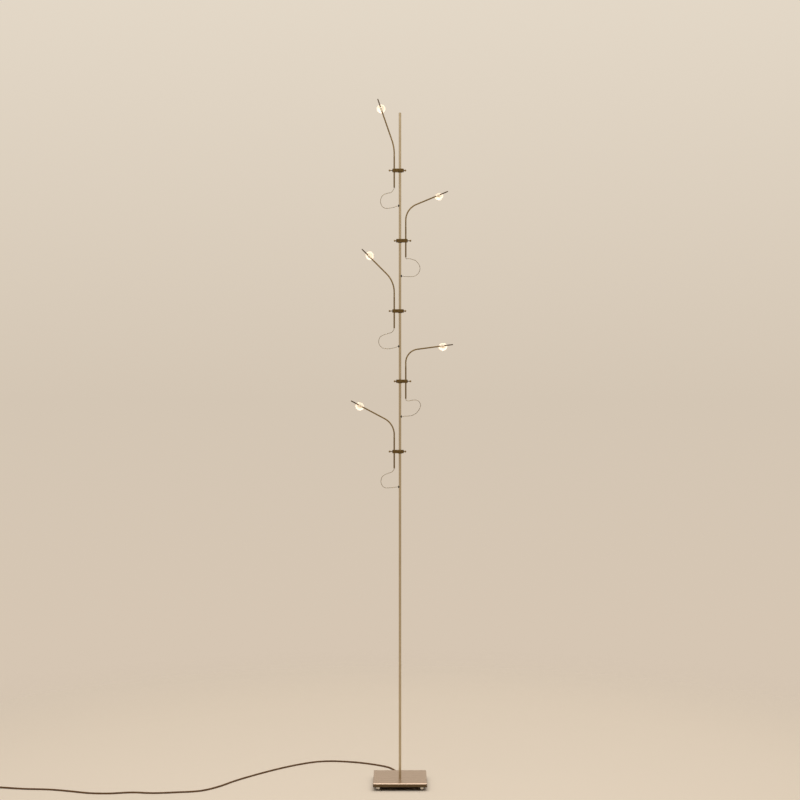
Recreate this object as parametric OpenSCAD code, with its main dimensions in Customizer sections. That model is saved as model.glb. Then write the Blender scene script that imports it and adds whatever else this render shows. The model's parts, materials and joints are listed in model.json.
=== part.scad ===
// Floor lamp with five small lens projectors on bendable arms, clamped up a thin pole.
// Millimetres, +Z up, origin on the floor under the middle of the base. The lamps stand beside
// the pole along X, odd ones at -X and even ones at +X, and they throw their light towards +Y.

/* [Pole] */
// Height of the pole's top above the floor
pole_top = 2150; // [2050:10:2400]
// Outer diameter of the pole
pole_d = 8; // [7.6:0.2:12]
// Wall of the pole's tube
pole_wall = 1; // [0.7:0.1:1]
// Length of pole below the base plate, under its lock nut
pole_below = 4; // [4:0.5:5]
// Thickness of the cap on the pole's top
cap_t = 1.5; // [1:0.5:3]
// Depth of the cap's plug in the pole
cap_plug = 8; // [4:1:20]

/* [Base] */
// Width and depth of the square base plate
plate_w = 170; // [150:5:240]
// Thickness of the base plate
plate_t = 12; // [8:1:18]
// Chamfer of the base plate's edges
plate_chamfer = 1.6; // [0.4:0.1:2]
// Distance from the plate's sides to the middle of a foot
foot_inset = 17; // [12:1:30]
// Diameter of a foot
foot_d = 14; // [10:1:22]
// Height of the metal part of a foot
foot_h = 9.5; // [9:0.5:14]
// Diameter of a foot's threaded stud
stud_d = 5; // [4:0.5:6]
// Length of a foot's threaded stud
stud_l = 5; // [4:0.5:6]
// Diameter of the rubber pad under a foot
pad_d = 12; // [8:0.5:14]
// Thickness of the rubber pad
pad_t = 2; // [1.5:0.5:4]

/* [Lock nut] */
// Width of the lock nut across its flats
nut_af = 13; // [13:1:17]
// Thickness of the lock nut
nut_t = 3.5; // [2.5:0.5:3.5]

/* [Clamps] */
// Distance from the pole's top down to the highest clamp
top_clamp_drop = 185; // [170:5:260]
// Distance between clamps
clamp_pitch = 225; // [215:5:250]
// Height of a clamp block
clamp_h = 11; // [9:0.5:16]
// Width of a clamp block
clamp_w = 14; // [13.6:0.2:18]
// Edge chamfer of a clamp block
clamp_chamfer = 0.8; // [0.3:0.1:1.5]
// Length of a clamp block beyond the pole's axis
pole_end = 12.5; // [11.5:0.5:13]
// Length of a clamp block beyond the arm's axis
arm_end = 6.2; // [5:0.2:7.4]
// Distance between the pole's axis and an arm's axis
arm_offset = 18.5; // [17:0.5:24]
// Wall of the nylon liner round the pole
liner_wall = 0.6; // [0.5:0.1:1]
// Width of the liner's flange beyond its wall
liner_flange = 1.6; // [1:0.2:2.4]
// Thickness of the liner's flange
flange_t = 1; // [0.6:0.2:2]

/* [Thumbscrews] */
// Diameter of a thumbscrew's thread
screw_d = 3; // [2.5:0.5:4]
// Length of a thumbscrew's thread
screw_l = 9.5; // [9.5:0.5:14]
// Diameter of a thumbscrew's head
head_d = 6; // [5:0.5:9]
// Length of a thumbscrew's head
head_l = 5.6; // [4:0.2:9]

/* [Arms] */
// Length of an arm from its lower end to the middle of its lamp head
arm_len = 260; // [250:2:320]
// Outer diameter of an arm
arm_d = 4.8; // [4.4:0.2:5.6]
// Wall of an arm's tube
arm_wall = 0.7; // [0.5:0.1:0.7]
// Length of stiff tube above the clamp, before the bendable neck starts
stiff_above = 45; // [30:1:50]
// Length of the neck's spigot inside the stiff tube
spigot_l = 8; // [5:1:12]

/* [Lamp heads] */
// Diameter of the LED carrier
carrier_d = 8; // [7:0.5:10]
// Length of the LED carrier behind the arm's axis
carrier_back = 4.2; // [4:0.2:7]
// Length of the LED carrier in front of the arm's axis
carrier_front = 6.2; // [6:0.2:8]
// Wall of the socket that turns on the neck's end
socket_wall = 1; // [0.8:0.1:1.2]
// Length of the socket, back from the head's middle
socket_l = 9; // [8:0.5:12]
// Depth to which the neck goes into the socket
socket_depth = 5.5; // [4:0.5:6]
// Diameter of the LED's dome
led_d = 3.4; // [2.4:0.2:4]
// Diameter of the glass lens
lens_d = 28; // [24:1:34]
// Thickness of the lens at its rim
lens_rim = 4; // [3:0.5:7]
// Height of the lens's dome above its rim
lens_dome = 8; // [6:0.5:10]
// Depth to which the carrier sits in the lens
lens_seat = 2; // [1:0.5:2]
// Diameter of the dark grip
grip_d = 4; // [3.4:0.2:6]
// Distance from the head's middle to the grip's tip
grip_reach = 33; // [24:1:44]
// Diameter of the grip's screwed end
grip_stud_d = 2.4; // [2:0.2:2.6]
// Length of the grip's screwed end
grip_stud_l = 2.6; // [1.5:0.1:3]

/* [Wires] */
// Diameter of the thin wire to each lamp head
wire_d = 1.6; // [1:0.1:1.6]
// Distance from a clamp down to its wire's grommet
grommet_drop = 113; // [108:1:120]
// Diameter of a grommet's outer flange
grommet_d = 7.6; // [5:0.2:7.8]
// Height of a grommet outside the pole
grommet_out = 2; // [1:0.1:3.5]
// Wall of a grommet in the pole's hole
grommet_wall = 0.85; // [0.7:0.05:1]

/* [Junction block and cord] */
// Length of the junction block along X
block_x = 34; // [24:1:50]
// Length of the junction block along Y
block_y = 34; // [24:1:36]
// Distance from the pole's axis to the junction block
block_from = 14; // [12:1:20]
// Gap between the junction block and the floor
block_gap = 2.2; // [1.5:0.1:2.5]
// Depth of the wires' holes in the junction block
block_hole = 4; // [3:0.5:8]
// Diameter of the lead
cord_d = 5; // [4.6:0.2:5]
// Length of the lead's strain relief
relief_l = 30; // [20:1:34]

/* [Plug-in power supply] */
// Width of the supply
supply_w = 40; // [34:1:50]
// Length of the supply
supply_l = 62; // [50:1:80]
// Height of the supply as it lies
supply_h = 28; // [22:1:36]
// Diameter of a plug pin
pin_d = 4; // [4:0.2:4.8]
// Length of a plug pin
pin_l = 19; // [17:0.5:22]
// Distance between the two plug pins
pin_pitch = 18.6; // [18:0.2:20]

/* [Light 1, the highest] */
// Angle of the arm's bend from upright
bend_1 = 19; // [12:0.5:36]
// Radius of the arm's bend
bend_r_1 = 134; // [60:1:150]
// Height above the clamp at which the bend starts
bend_from_1 = 53; // [52:0.5:80]
// Length of arm below the clamp
below_1 = 55; // [50:0.5:58]
// Turn of the lamp head down from level
turn_1 = 0; // [-80:1:80]

/* [Light 2] */
// Angle of the arm's bend from upright
bend_2 = 67.5; // [45:0.5:90]
// Radius of the arm's bend
bend_r_2 = 55; // [35:1:60]
// Height above the clamp at which the bend starts
bend_from_2 = 65.5; // [52:0.5:80]
// Length of arm below the clamp
below_2 = 53; // [50:0.5:58]
// Turn of the lamp head down from level
turn_2 = 38; // [-80:1:80]

/* [Light 3] */
// Angle of the arm's bend from upright
bend_3 = 45; // [25:0.5:65]
// Radius of the arm's bend
bend_r_3 = 85; // [40:1:105]
// Height above the clamp at which the bend starts
bend_from_3 = 59.5; // [52:0.5:80]
// Length of arm below the clamp
below_3 = 55; // [50:0.5:58]
// Turn of the lamp head down from level
turn_3 = -30; // [-80:1:80]

/* [Light 4] */
// Angle of the arm's bend from upright
bend_4 = 82.5; // [55:0.5:95]
// Radius of the arm's bend
bend_r_4 = 43; // [30:1:46]
// Height above the clamp at which the bend starts
bend_from_4 = 60; // [52:0.5:80]
// Length of arm below the clamp
below_4 = 56; // [50:0.5:58]
// Turn of the lamp head down from level
turn_4 = 32; // [-80:1:80]

/* [Light 5, the lowest] */
// Angle of the arm's bend from upright
bend_5 = 62; // [45:0.5:85]
// Radius of the arm's bend
bend_r_5 = 58; // [38:1:60]
// Height above the clamp at which the bend starts
bend_from_5 = 54; // [52:0.5:80]
// Length of arm below the clamp
below_5 = 54; // [50:0.5:58]
// Turn of the lamp head down from level
turn_5 = 32; // [-80:1:80]

/* [Hidden] */
$fn = 64;
ROOT_NODES = [
    "base_plate", "base_feet", "foot_pads", "pole", "pole_nut", "pole_cap", "wire_grommets",
    "lamp_wires", "junction_block", "cord_relief", "cord_run", "cord_coil", "cord_tie",
    "power_supply", "plug_pins"
];
LIGHT_NODES = [
    "pole_liner", "clamp_block", "pole_screw", "arm_screw", "arm_tube", "arm_neck",
    "led_module", "head_grip", "lens"
];
LIGHTS = [1:5];

// Radial play of a running fit, gap between two pieces of one group, and a cut's overshoot
PLAY = 0.05;
SPLIT = 0.05;
OVER = 1;

// Heights
plate_bottom = pad_t + foot_h;
pole_foot = plate_bottom - pole_below;
pole_r = pole_d / 2;
bore_r = pole_r - pole_wall;
arm_r = arm_d / 2;
arm_bore_r = arm_r - arm_wall;
neck_bore_r = arm_bore_r - 0.5;
wire_r = wire_d / 2;
cord_r = cord_d / 2;
liner_r = pole_r + PLAY + liner_wall;
hole_r = wire_r + grommet_wall;
// Radial play of a wire in its grommet, and how far the grommet stands into the pole's bore
grommet_play = 0.2;
grommet_in = 0.2;
// Where the grip's shoulder meets the LED carrier
grip_seat = carrier_d / 2 + 0.6;
// Overlap of a neck's straight ends with its bend, and how far the bend stands out there
LAP = 1;
PROUD = 0.03;

// One value for each light, the highest first
BEND = [bend_1, bend_2, bend_3, bend_4, bend_5];
BEND_R = [bend_r_1, bend_r_2, bend_r_3, bend_r_4, bend_r_5];
BEND_FROM = [bend_from_1, bend_from_2, bend_from_3, bend_from_4, bend_from_5];
BELOW = [below_1, below_2, below_3, below_4, below_5];
TURN = [turn_1, turn_2, turn_3, turn_4, turn_5];

function clamp_z(i) = pole_top - top_clamp_drop - (i - 1) * clamp_pitch;
function grommet_z(i) = clamp_z(i) - grommet_drop;
function odd(i) = i % 2 == 1;
function arc_length(i) = BEND_R[i - 1] * BEND[i - 1] * PI / 180;
// Straight stretch of arm between its bend and the middle of the lamp head
function last_stretch(i) = arm_len - BELOW[i - 1] - BEND_FROM[i - 1] - arc_length(i);

// Wire loops between the pole and the arms: distance out from the pole's axis and height above
// the grommet, from the grommet to under the arm's lower end, chosen by hand
LOOPS = [
    [[14, -3], [30, -7], [46, -8], [57, -2], [62, 10], [61, 24], [53, 35], [40, 40], [28, 43]],
    [[14, -1], [30, -2], [47, 0], [59, 9], [64, 23], [61, 36], [51, 48.5], [38, 53.5], [28, 56]],
    [[15, -4], [28, -7], [41, -8], [56, -5], [66, 5], [68, 18], [63, 30], [51, 37], [38, 41], [26, 45]],
    [[14, 1], [29, 2], [42, 5], [53, 12], [62, 24], [66, 37], [60, 49], [49, 53], [37, 52], [27, 50]],
    [[14, -1], [30, -3], [47, -3], [57, 4], [61, 17], [58, 30], [50, 38], [38, 43], [27, 47]]
];
// Height below an arm's end at which its wire turns out to the side
WIRE_DROP = 5;

// Places of the five wires inside the pole, in steps of wire_step out from its axis and along Y
wire_step = wire_d + 0.12;
WIRE_SLOTS = [[0, 0.5], [0.5, -0.5], [0.5, -0.5], [1, 0.5], [1, 0.5]];
// Turn of the wires from the pole's foot to the junction block
foot_bend_r = 3.5;
foot_bend_y = wire_step / 2 + foot_bend_r;
foot_bend_z = pole_foot + 1.9;
// Height of the last turn inside the pole, out through the grommet
EXIT_RISE = 2.2;

// Lead on the floor, from the strain relief to past the left, chosen by hand: X, Y and height
relief_y = block_from + block_y + relief_l;
block_z = (plate_bottom + block_gap) / 2;
floor_z = cord_r + 0.1;
coil_z = 4.3;
CORD_ROUTE = [
    [0, relief_y, block_z], [0, relief_y + 4, block_z], [0, relief_y + 8, block_z],
    [-0.5, 98, 5.6], [-2, 111, 4], [-7, 135, floor_z], [-17, 164, floor_z], [-38, 204, floor_z],
    [-80, 238, floor_z], [-138, 268, floor_z], [-200, 285, floor_z], [-248, 288, floor_z],
    [-298, 272, floor_z], [-358, 229, floor_z], [-416, 173, floor_z], [-476, 104, floor_z],
    [-530, 34, floor_z], [-578, -42, floor_z], [-628, -90, floor_z], [-695, -106, floor_z],
    [-770, -116, floor_z], [-840, -108, floor_z], [-905, -120, floor_z], [-970, -116, floor_z],
    [-1035, -94, floor_z], [-1105, -74, floor_z], [-1185, -66, floor_z], [-1250, -54, 3.2],
    [-1290, -48, coil_z], [-1305, -48, coil_z]
];
ROUTE_STEPS = 2;
CORD_SIDES = 8;
WIRE_SIDES = 8;

// Coil of the lead's spare length: loops that spiral in and out again in two layers. Loops of
// six-sided tube, with their rings in each loop, and how much of a loop the climb takes.
coil_x = -1316;
coil_pitch = cord_d + 0.6;
coil_turns = 4.25;
coil_r = 5.6 * cord_d + coil_pitch * coil_turns / 4 - coil_pitch / 2;
coil_top_y = -48;
coil_y = coil_top_y - coil_r;
coil_start = [coil_x + cord_d, coil_top_y, coil_z];
COIL_RINGS = 24;
COIL_SIDES = 6;
CLIMB = 0.5;

// Lead from the coil to the power supply
supply_y = coil_y - 66;
tail_x = coil_x - coil_r;
tail_z = coil_z + coil_pitch;
TAIL_ROUTE = [
    [tail_x, coil_y - cord_d, tail_z], [tail_x, coil_y - cord_d - 3, tail_z],
    [tail_x, coil_y - cord_d - 6, tail_z], [tail_x, coil_y - 20, tail_z - 1.4],
    [tail_x, coil_y - 34, tail_z + 0.8], [tail_x, coil_y - 48, supply_h / 2 - 2],
    [tail_x, supply_y + 8, supply_h / 2], [tail_x, supply_y + 4, supply_h / 2],
    [tail_x, supply_y, supply_h / 2]
];
// Tie round the coil: its width, thickness and turn about the coil's middle
tie_w = 5;
tie_t = 1.2;
tie_turn = 35;

// Vectors and tubes
// Direction that no tube runs along, from which the corners of its rings are counted
REF = [0.35, 0.85, 0.4];

function unit(v) = v / norm(v);
function heading(p, i) = unit(p[min(i + 1, len(p) - 1)] - p[max(i - 1, 0)]);
function ring(at, t, r, n) =
    let (a = unit(cross(REF, t)), b = cross(t, a))
    [for (k = [0:n - 1]) at + r * (a * cos(360 * k / n) + b * sin(360 * k / n))];
function between(a, b, c, d, u) =
    (2 * b + (c - a) * u + (2 * a - 5 * b + 4 * c - d) * u * u
    + (3 * b - a - 3 * c + d) * u * u * u) / 2;
// Smooth curve through the points of p
function smooth(p, steps) = [
    for (i = [0:len(p) - 2]) for (s = [0:steps - 1])
        between(p[max(i - 1, 0)], p[i], p[i + 1], p[min(i + 2, len(p) - 1)], s / steps),
    p[len(p) - 1]
];
function length_of(p, i = 1) = i >= len(p) ? 0 : norm(p[i] - p[i - 1]) + length_of(p, i + 1);

// Place on the coil after t turns
function coil_at(t) =
    let (
        half = coil_turns / 2,
        r = coil_r - coil_pitch * (half - abs(t - half)),
        climb = min(1, max(0, (t - half) / CLIMB + 0.5)),
        a = 90 + 360 * t
    )
    [coil_x + r * cos(a), coil_y + r * sin(a), coil_z + coil_pitch * climb];
COIL_PATH = concat(
    [coil_start],
    [for (s = [0:COIL_RINGS * coil_turns]) coil_at(s / COIL_RINGS)],
    [TAIL_ROUTE[0]]
);
// Least gap between one turn and another, measured on the points of the path
coil_gap = min([
    for (i = [0:len(COIL_PATH) - 1]) for (j = [i + COIL_RINGS / 2:len(COIL_PATH) - 1])
        norm(COIL_PATH[i] - COIL_PATH[j])
]) - cord_d;
echo(coil_gap = coil_gap, coil_length = length_of(COIL_PATH));

// Tube of n sides along the points of p
module tube(p, r, n) {
    last = len(p) - 1;
    points = [for (i = [0:last]) each ring(p[i], heading(p, i), r, n)];
    walls = [
        for (i = [0:last - 1]) for (k = [0:n - 1])
            let (a = i * n + k, b = i * n + (k + 1) % n)
            each [[a, a + n, b + n], [a, b + n, b]]
    ];
    caps = [for (k = [1:n - 2]) each [[0, k, k + 1], [last * n, last * n + k + 1, last * n + k]]];
    polyhedron(points, concat(walls, caps));
}

// Pipe along +Z from z0 to z1
module pipe(outer, inner, z0, z1) {
    translate([0, 0, z0]) difference() {
        cylinder(r = outer, h = z1 - z0);
        translate([0, 0, -OVER]) cylinder(r = inner, h = z1 - z0 + 2 * OVER);
    }
}

// Places its children, drawn at +X of the pole, on the side where light i stands
module on_side(i) {
    if (odd(i)) mirror([1, 0, 0]) children();
    else children();
}

// Frame of the neck's end: origin in the middle of lamp head i, +Z along the arm, +Y to the light
module at_head(i) {
    on_side(i)
        translate([arm_offset, 0, clamp_z(i)])
        translate([0, 0, BEND_FROM[i - 1]])
        translate([BEND_R[i - 1], 0, 0])
        rotate([0, BEND[i - 1], 0])
        translate([-BEND_R[i - 1], 0, last_stretch(i)])
        rotate([0, 0, -TURN[i - 1]])
        children();
}

// Base

// Block with chamfered edges all round, standing on z = 0
module chamfered_plate(w, h, c) {
    intersection() {
        rotate([90, 0, 0]) linear_extrude(w, center = true) chamfered_profile(w, h, c);
        rotate([90, 0, 90]) linear_extrude(w, center = true) chamfered_profile(w, h, c);
        linear_extrude(h) chamfered_square(w, c);
    }
}

module chamfered_profile(w, h, c) {
    polygon([
        [-w / 2 + c, 0], [w / 2 - c, 0], [w / 2, c], [w / 2, h - c],
        [w / 2 - c, h], [-w / 2 + c, h], [-w / 2, h - c], [-w / 2, c]
    ]);
}

module chamfered_square(w, c) {
    translate([0, -w / 2]) chamfered_profile(w, w, c);
}

module each_foot() {
    reach = plate_w / 2 - foot_inset;
    for (x = [-reach, reach]) for (y = [-reach, reach]) translate([x, y, 0]) children();
}

module base_plate() {
    color([0.72, 0.66, 0.55]) difference() {
        translate([0, 0, plate_bottom]) chamfered_plate(plate_w, plate_t, plate_chamfer);
        translate([0, 0, plate_bottom - OVER]) cylinder(r = pole_r + PLAY / 2, h = plate_t + 2 * OVER);
        each_foot() translate([0, 0, plate_bottom - OVER])
            cylinder(d = stud_d + PLAY, h = stud_l + OVER + PLAY);
    }
}

module base_feet() {
    color([0.78, 0.76, 0.72]) each_foot() {
        difference() {
            translate([0, 0, pad_t]) rotate_extrude() polygon([
                [0, 0], [foot_d / 2 - 1, 0], [foot_d / 2, 1], [foot_d / 2, foot_h - 1.4],
                [foot_d / 2 - 0.6, foot_h - 0.8], [foot_d / 2 - 0.6, foot_h], [0, foot_h]
            ]);
            translate([0, 0, pad_t - OVER]) cylinder(d = pad_d - 2, h = OVER + 0.5);
        }
        translate([0, 0, plate_bottom - 0.5]) cylinder(d = stud_d, h = stud_l + 0.5);
    }
}

module foot_pads() {
    color([0.08, 0.08, 0.08]) each_foot() {
        rotate_extrude() polygon([
            [0, 0], [pad_d / 2 - 0.4, 0], [pad_d / 2, 0.4], [pad_d / 2, pad_t],
            [pad_d / 2 - 1.1, pad_t], [pad_d / 2 - 1.1, pad_t + 0.4], [0, pad_t + 0.4]
        ]);
    }
}

// Pole

module pole() {
    color([0.62, 0.55, 0.42]) difference() {
        pipe(pole_r, bore_r, pole_foot, pole_top - cap_t);
        for (i = LIGHTS) on_side(i) translate([0, 0, grommet_z(i)])
            rotate([0, 90, 0]) cylinder(r = hole_r, h = pole_d);
    }
}

module pole_nut() {
    color([0.6, 0.58, 0.54]) difference() {
        translate([0, 0, plate_bottom - nut_t]) intersection() {
            cylinder(d = nut_af / cos(30), h = nut_t, $fn = 6);
            rotate_extrude() polygon([
                [0, 0], [nut_af / 2 - 0.1, 0], [nut_af / 2 + 1.1, 0.7], [nut_af / 2 + 1.1, nut_t], [0, nut_t]
            ]);
        }
        translate([0, 0, plate_bottom - nut_t - OVER]) cylinder(r = pole_r + PLAY / 2, h = nut_t + 2 * OVER);
    }
}

module pole_cap() {
    color([0.62, 0.55, 0.42]) translate([0, 0, pole_top - cap_t]) rotate_extrude() polygon([
        [0, -cap_plug], [bore_r - PLAY - 0.5, -cap_plug], [bore_r - PLAY, 0.5 - cap_plug],
        [bore_r - PLAY, 0], [pole_r, 0], [pole_r, cap_t - 0.6], [pole_r - 0.6, cap_t], [0, cap_t]
    ]);
}

module wire_grommets() {
    color([0.05, 0.05, 0.05]) for (i = LIGHTS) on_side(i) translate([0, 0, grommet_z(i)])
        difference() {
            union() {
                difference() {
                    rotate([0, 90, 0]) rotate_extrude() polygon([
                        [0, 0], [grommet_d / 2, 0], [grommet_d / 2, pole_r + grommet_out - 0.5],
                        [grommet_d / 2 - 0.5, pole_r + grommet_out], [0, pole_r + grommet_out]
                    ]);
                    translate([0, 0, -grommet_d]) cylinder(r = pole_r + PLAY / 2, h = 2 * grommet_d);
                }
                translate([bore_r - grommet_in, 0, 0]) rotate([0, 90, 0])
                    cylinder(r = hole_r - PLAY / 2, h = pole_wall + 3 * grommet_in);
            }
            translate([bore_r - OVER, 0, 0]) rotate([0, 90, 0])
                cylinder(r = wire_r + grommet_play, h = pole_wall + grommet_out + 3 * OVER);
        }
}

// Wires and junction block

// Route of the wire of light i, for a light at +X: junction block, pole, loop, arm, lamp head
function wire_route(i) =
    let (
        slot = WIRE_SLOTS[i - 1] * wire_step,
        turn_r = foot_bend_y - slot[1],
        out_x = bore_r - grommet_in,
        gz = grommet_z(i),
        arm_z = clamp_z(i) - BELOW[i - 1],
        bend_z = clamp_z(i) + BEND_FROM[i - 1],
        r = BEND_R[i - 1],
        end = bend_end(i),
        up = [sin(BEND[i - 1]), 0, cos(BEND[i - 1])]
    )
    concat(
        [[slot[0], block_from + block_hole - 0.3, foot_bend_z - turn_r]],
        [for (a = [0:22.5:90])
            [slot[0], foot_bend_y - turn_r * sin(a), foot_bend_z - turn_r * cos(a)]],
        [for (a = [0:22.5:90])
            [slot[0] + (out_x - slot[0]) * (1 - cos(a)), slot[1] * cos(a),
                gz - EXIT_RISE * (1 - sin(a))]],
        smooth(concat(
            [[pole_r + grommet_out, 0, gz]],
            [for (q = LOOPS[i - 1]) [q[0], 0, gz + q[1]]],
            [[arm_offset + 1.6, 0, arm_z - WIRE_DROP], [arm_offset, 0, arm_z]]
        ), 3),
        [for (a = [0:BEND[i - 1] / 6:BEND[i - 1]])
            [arm_offset + r * (1 - cos(a)), 0, bend_z + r * sin(a)]],
        [end + up * (last_stretch(i) - socket_l + socket_depth - 0.4)]
    );
function bend_end(i) =
    let (r = BEND_R[i - 1], a = BEND[i - 1])
    [arm_offset + r * (1 - cos(a)), 0, clamp_z(i) + BEND_FROM[i - 1] + r * sin(a)];

module lamp_wires() {
    color([0.85, 0.85, 0.8, 0.7]) for (i = LIGHTS) on_side(i) tube(wire_route(i), wire_r, WIRE_SIDES);
}

module junction_block() {
    color([0.09, 0.09, 0.09]) difference() {
        translate([-block_x / 2, block_from, block_gap]) cube([block_x, block_y, plate_bottom - block_gap]);
        for (i = LIGHTS) on_side(i) {
            slot = WIRE_SLOTS[i - 1] * wire_step;
            translate([slot[0], block_from - OVER, foot_bend_z - foot_bend_y + slot[1]])
                rotate([-90, 0, 0]) cylinder(r = wire_r + PLAY, h = OVER + block_hole);
        }
    }
}

module cord_relief() {
    color([0.07, 0.06, 0.05]) translate([0, block_from + block_y, block_z]) rotate([-90, 0, 0])
        rotate_extrude() polygon([
            [0, 0], [block_z - block_gap - 0.2, 0], [block_z - block_gap - 0.2, 3],
            [cord_r + 0.9, 5], [cord_r + 0.4, relief_l], [0, relief_l]
        ]);
}

// Cord

module cord_run() {
    color([0.12, 0.09, 0.07]) {
        tube(smooth(concat(CORD_ROUTE, [coil_start]), ROUTE_STEPS), cord_r, CORD_SIDES);
        tube(smooth(TAIL_ROUTE, ROUTE_STEPS), cord_r, CORD_SIDES);
    }
}

module cord_coil() {
    color([0.12, 0.09, 0.07]) tube(COIL_PATH, cord_r, COIL_SIDES);
}

module cord_tie() {
    inner = coil_r - coil_pitch * coil_turns / 2 - cord_r - 0.5;
    outer = coil_r + cord_r + 0.5;
    low = coil_z - cord_r - 0.4;
    high = coil_z + coil_pitch + cord_r + 0.4;
    color([0.05, 0.05, 0.05]) translate([coil_x, coil_y, 0]) rotate([0, 0, tie_turn])
        rotate([90, 0, 0]) linear_extrude(tie_w, center = true) difference() {
            translate([inner - tie_t, low - tie_t])
                square([outer - inner + 2 * tie_t, high - low + 2 * tie_t]);
            translate([inner, low]) square([outer - inner, high - low]);
        }
}

module power_supply() {
    c = 2.5;
    color([0.08, 0.08, 0.08]) translate([tail_x, supply_y - supply_l / 2, 0]) {
        intersection() {
            rotate([90, 0, 0]) linear_extrude(supply_l, center = true)
                chamfered_profile(supply_w, supply_h, c);
            rotate([90, 0, 90]) linear_extrude(supply_w, center = true)
                chamfered_profile(supply_l, supply_h, c);
        }
    }
}

module plug_pins() {
    color([0.8, 0.8, 0.8]) for (s = [-1, 1])
        translate([tail_x + s * pin_pitch / 2, supply_y - supply_l * 0.62, supply_h])
            rotate_extrude() polygon([
                [0, 0], [pin_d / 2, 0], [pin_d / 2, pin_l - pin_d / 4],
                [pin_d / 4, pin_l], [0, pin_l]
            ]);
}

// Clamps

module pole_liner(i) {
    color([0.12, 0.12, 0.12]) translate([0, 0, clamp_z(i)]) {
        pipe(liner_r, pole_r + PLAY, -clamp_h / 2 - flange_t, clamp_h / 2);
        pipe(liner_r + liner_flange, pole_r + PLAY, -clamp_h / 2 - flange_t, -clamp_h / 2);
    }
}

// Bar with round ends and chamfered edges, along X from x0 to x1, standing on z = 0
module round_bar(x0, x1, w, h, c) {
    r = w / 2;
    for (x = [x0 + r, x1 - r]) translate([x, 0, 0])
        rotate_extrude() polygon([[0, 0], [r - c, 0], [r, c], [r, h - c], [r - c, h], [0, h]]);
    translate([x0 + r, 0, 0]) rotate([90, 0, 90])
        linear_extrude(x1 - x0 - w) chamfered_profile(w, h, c);
}

module clamp_block(i) {
    color([0.42, 0.34, 0.2]) on_side(i) translate([0, 0, clamp_z(i) - clamp_h / 2 + PLAY]) difference() {
        round_bar(-pole_end, arm_offset + arm_end, clamp_w, clamp_h - PLAY, clamp_chamfer);
        translate([0, 0, -OVER]) cylinder(r = liner_r + PLAY, h = clamp_h + 2 * OVER);
        translate([arm_offset, 0, -OVER]) cylinder(r = arm_r + PLAY, h = clamp_h + 2 * OVER);
        translate([0, 0, clamp_h / 2 - PLAY]) rotate([0, -90, 0])
            cylinder(r = screw_d / 2 + PLAY, h = pole_end + OVER);
        translate([arm_offset, 0, clamp_h / 2 - PLAY]) rotate([0, 90, 0])
            cylinder(r = screw_d / 2 + PLAY, h = arm_end + OVER);
    }
}

// Thumbscrew along +Z, its tip at the origin
module thumbscrew() {
    r = head_d / 2;
    c = 0.7;
    rotate_extrude() polygon([
        [0, 0], [screw_d / 2 - 0.4, 0], [screw_d / 2, 0.4], [screw_d / 2, screw_l],
        [r - c, screw_l], [r, screw_l + c], [r, screw_l + head_l - c], [r - c, screw_l + head_l],
        [0, screw_l + head_l]
    ]);
}

module pole_screw(i) {
    color([0.5, 0.42, 0.28]) on_side(i) translate([-liner_r - 2 * PLAY, 0, clamp_z(i)])
        rotate([0, -90, 0]) thumbscrew();
}

module arm_screw(i) {
    color([0.5, 0.42, 0.28]) on_side(i) translate([arm_offset + arm_r + 2 * PLAY, 0, clamp_z(i)])
        rotate([0, 90, 0]) thumbscrew();
}

// Arms

module arm_tube(i) {
    color([0.66, 0.58, 0.43]) on_side(i) translate([arm_offset, 0, clamp_z(i)])
        pipe(arm_r, arm_bore_r, -BELOW[i - 1], stiff_above);
}

// Rod along the neck of light i, with its straight ends from z0 and to z1 past the bend
module neck_rod(i, r, z0, z1) {
    bend_r = BEND_R[i - 1];
    from = BEND_FROM[i - 1];
    translate([0, 0, z0]) cylinder(r = r, h = from + LAP - z0);
    translate([bend_r, 0, from]) {
        rotate([90, 0, 180]) rotate_extrude(angle = BEND[i - 1])
            translate([bend_r, 0]) circle(r = r + PROUD);
        rotate([0, BEND[i - 1], 0]) translate([-bend_r, 0, -LAP]) cylinder(r = r, h = z1 + LAP);
    }
}

module arm_neck(i) {
    end = last_stretch(i) - socket_l + socket_depth;
    start = stiff_above + SPLIT;
    color([0.66, 0.58, 0.43]) on_side(i) translate([arm_offset, 0, clamp_z(i)]) difference() {
        union() {
            neck_rod(i, arm_r, start, end);
            translate([0, 0, start - spigot_l]) cylinder(r = arm_bore_r - PLAY, h = spigot_l + OVER);
        }
        neck_rod(i, neck_bore_r, start - spigot_l - OVER, end + OVER);
    }
}

// Lamp heads, in the frame of at_head

module led_module(i) {
    socket_r = arm_r + PLAY + socket_wall;
    color([0.7, 0.64, 0.5]) at_head(i) {
        difference() {
            union() {
                rotate([-90, 0, 0]) translate([0, 0, -carrier_back]) rotate_extrude() polygon([
                    [0, 0], [carrier_d / 2 - 0.8, 0], [carrier_d / 2, 0.8],
                    [carrier_d / 2, carrier_back + carrier_front], [0, carrier_back + carrier_front]
                ]);
                translate([0, 0, -socket_l]) cylinder(r = socket_r, h = socket_l);
                cylinder(d = grip_d + 1, h = grip_seat);
            }
            translate([0, 0, -socket_l - OVER]) cylinder(r = arm_r + PLAY, h = socket_depth + OVER + PLAY);
            translate([0, 0, grip_seat - grip_stud_l - PLAY])
                cylinder(d = grip_stud_d + PLAY, h = grip_stud_l + OVER);
        }
        translate([0, carrier_front + SPLIT, 0]) rotate([-90, 0, 0]) rotate_extrude() polygon(concat(
            [[0, 0], [led_d / 2 + 0.7, 0], [led_d / 2 + 0.7, 0.5]],
            [for (a = [0:15:90]) [led_d / 2 * cos(a), 0.5 + led_d / 2 * sin(a)]]
        ));
    }
}

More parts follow.
